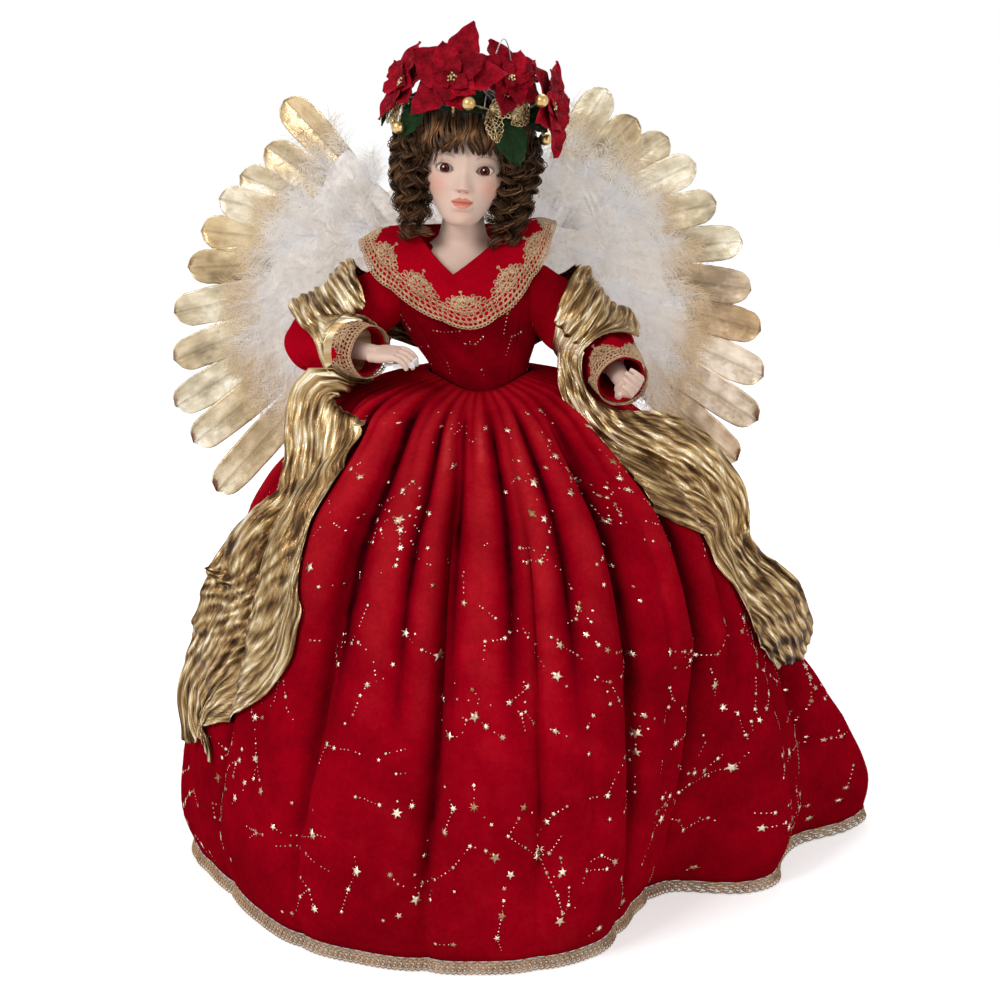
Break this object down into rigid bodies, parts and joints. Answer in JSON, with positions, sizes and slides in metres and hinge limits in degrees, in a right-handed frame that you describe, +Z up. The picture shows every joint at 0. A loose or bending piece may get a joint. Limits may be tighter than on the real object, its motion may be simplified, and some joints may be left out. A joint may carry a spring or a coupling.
{
  "type": "christmas angel figurine",
  "caption": "Table-top Christmas angel: porcelain doll in a star-print red velvet gown, gold shawl, feathered wings and poinsettia wreath, on a hidden stand.",
  "frame": {"origin": "centre of the flat underside of the stand's base, on the axis of the post", "axes": "+Z up along the post, -Y out of the figure's front, +X to the right of someone who looks at its front"},
  "size_m": [0.4279, 0.3514, 0.5008],
  "materials": {
    "turned_base": "plain turned disc",
    "post_steel": "satin",
    "former_card": "matte",
    "calico": "matte stuffed cotton",
    "printed_velvet": "red velvet with a gold foil print of small stars",
    "plain_velvet": "red velvet",
    "gold_lace": "ecru and gold guipure lace",
    "porcelain": "unglazed painted bisque",
    "eye_glass": "polished brown doll eye",
    "doll_hair": "curled dark brown fibre with lighter strands",
    "gold_lame": "crinkled metallic lame",
    "feather_satin": "pale gold ribbed satin",
    "white_down": "fluffy white with tan tips",
    "wing_card": "matte",
    "bracket_wire": "satin",
    "petal_cloth": "velvety red artificial petals",
    "leaf_cloth": "dark green artificial leaves",
    "gilt_mesh": "gold glitter mesh and gilt beads",
    "clip_plastic": "white moulded"
  },
  "bodies": {
    "root": {"stand_base": "turned_base", "stand_post": "post_steel", "skirt_former": "former_card", "torso": "calico", "bodice": "printed_velvet", "skirt": "printed_velvet", "hem_lace": "gold_lace", "upper_arm_left": "calico", "hand_left": "porcelain", "sleeve_left": "plain_velvet", "cuff_lace_left": "gold_lace", "upper_arm_right": "calico", "hand_right": "porcelain", "sleeve_right": "plain_velvet", "cuff_lace_right": "gold_lace", "hand_clip": "clip_plastic", "collar": "plain_velvet", "collar_lace": "gold_lace", "head": "porcelain", "eye_left": "eye_glass", "eye_right": "eye_glass", "wig": "doll_hair", "wreath_ring": "leaf_cloth", "poinsettia_1": "petal_cloth", "poinsettia_2": "petal_cloth", "poinsettia_3": "petal_cloth", "poinsettia_4": "petal_cloth", "poinsettia_5": "petal_cloth", "gold_spray_1": "gilt_mesh", "gold_spray_2": "gilt_mesh", "gold_spray_3": "gilt_mesh", "wing_plate_left": "wing_card", "down_left": "white_down", "feather_left_01": "feather_satin", "feather_left_02": "feather_satin", "feather_left_03": "feather_satin", "feather_left_04": "feather_satin", "feather_left_05": "feather_satin", "feather_left_06": "feather_satin", "feather_left_07": "feather_satin", "feather_left_08": "feather_satin", "feather_left_09": "feather_satin", "feather_left_10": "feather_satin", "feather_left_11": "feather_satin", "wing_plate_right": "wing_card", "down_right": "white_down", "feather_right_01": "feather_satin", "feather_right_02": "feather_satin", "feather_right_03": "feather_satin", "feather_right_04": "feather_satin", "feather_right_05": "feather_satin", "feather_right_06": "feather_satin", "feather_right_07": "feather_satin", "feather_right_08": "feather_satin", "feather_right_09": "feather_satin", "feather_right_10": "feather_satin", "feather_right_11": "feather_satin", "wing_bracket": "bracket_wire", "shawl": "gold_lame"}
  },
  "joints": []
}
